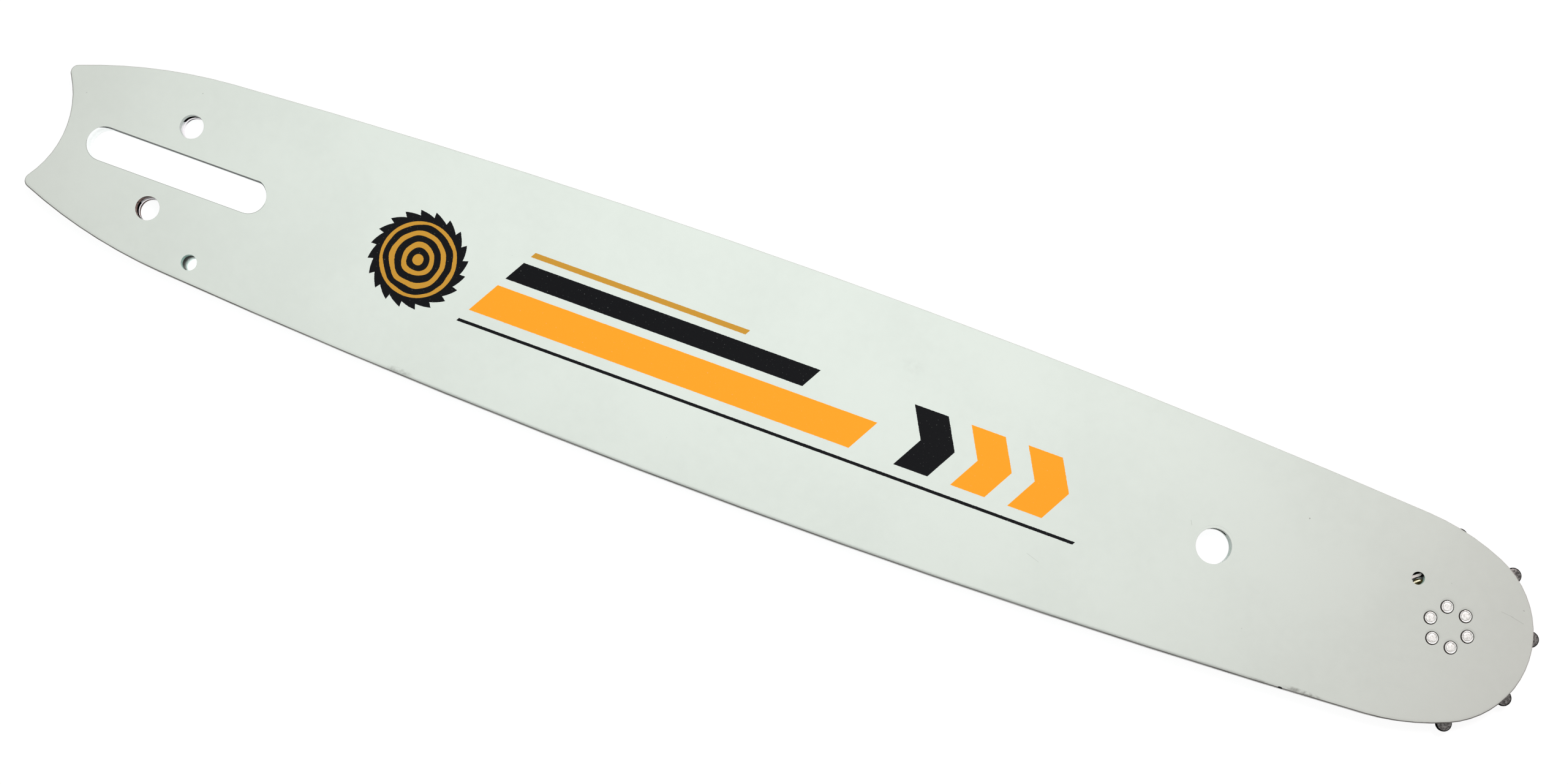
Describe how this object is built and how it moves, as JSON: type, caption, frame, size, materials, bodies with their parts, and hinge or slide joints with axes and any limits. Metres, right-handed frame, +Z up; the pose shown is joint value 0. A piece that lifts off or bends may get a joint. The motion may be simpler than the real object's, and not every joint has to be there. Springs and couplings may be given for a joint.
{
  "type": "chainsaw guide bar",
  "caption": "Laminated chainsaw guide bar with a chain groove, a stud slot, tensioner holes and a toothed sprocket nose that turns on a roller bearing.",
  "frame": {"origin": "middle of the stud slot, on the bar's back face", "axes": "+X along the bar from the tail to the nose, +Y across the bar, +Z up through its thickness, out of the printed face"},
  "size_m": [0.3966, 0.0628, 0.0041],
  "materials": {
    "bar_paint": "satin pale grey-white paint on steel, with fine specks and handling marks",
    "core_steel": "bare cold-rolled steel, oily",
    "sprocket_steel": "dark hardened steel, bright where it is worn",
    "roller_steel": "ground steel under grease",
    "rivet_steel": "bright bare steel, flush ground"
  },
  "bodies": {
    "bar": {"front_side_plate": "bar_paint", "core_plate": "core_steel", "back_side_plate": "bar_paint", "bearing_race": "core_steel", "nose_rivets": "rivet_steel"},
    "sprocket": {"nose_sprocket": "sprocket_steel"},
    "rollers": {"bearing_roller_01": "roller_steel", "bearing_roller_02": "roller_steel", "bearing_roller_03": "roller_steel", "bearing_roller_04": "roller_steel", "bearing_roller_05": "roller_steel", "bearing_roller_06": "roller_steel", "bearing_roller_07": "roller_steel", "bearing_roller_08": "roller_steel", "bearing_roller_09": "roller_steel", "bearing_roller_10": "roller_steel", "bearing_roller_11": "roller_steel", "bearing_roller_12": "roller_steel", "bearing_roller_13": "roller_steel", "bearing_roller_14": "roller_steel", "bearing_roller_15": "roller_steel", "bearing_roller_16": "roller_steel", "bearing_roller_17": "roller_steel", "bearing_roller_18": "roller_steel", "bearing_roller_19": "roller_steel", "bearing_roller_20": "roller_steel", "bearing_roller_21": "roller_steel", "bearing_roller_22": "roller_steel", "bearing_roller_23": "roller_steel"}
  },
  "joints": [
    {"name": "sprocket_turn", "type": "hinge", "parent": "bar", "child": "sprocket", "pos_m": [0.336, 0, 0.00205], "axis": [0, 0, 1], "continuous": true},
    {"name": "roller_orbit", "type": "hinge", "parent": "bar", "child": "rollers", "pos_m": [0.336, 0, 0.00205], "axis": [0, 0, 1], "continuous": true}
  ],
  "couplings": [
    {"joint": "roller_orbit", "follows": "sprocket_turn", "ratio": 0.5681}
  ]
}
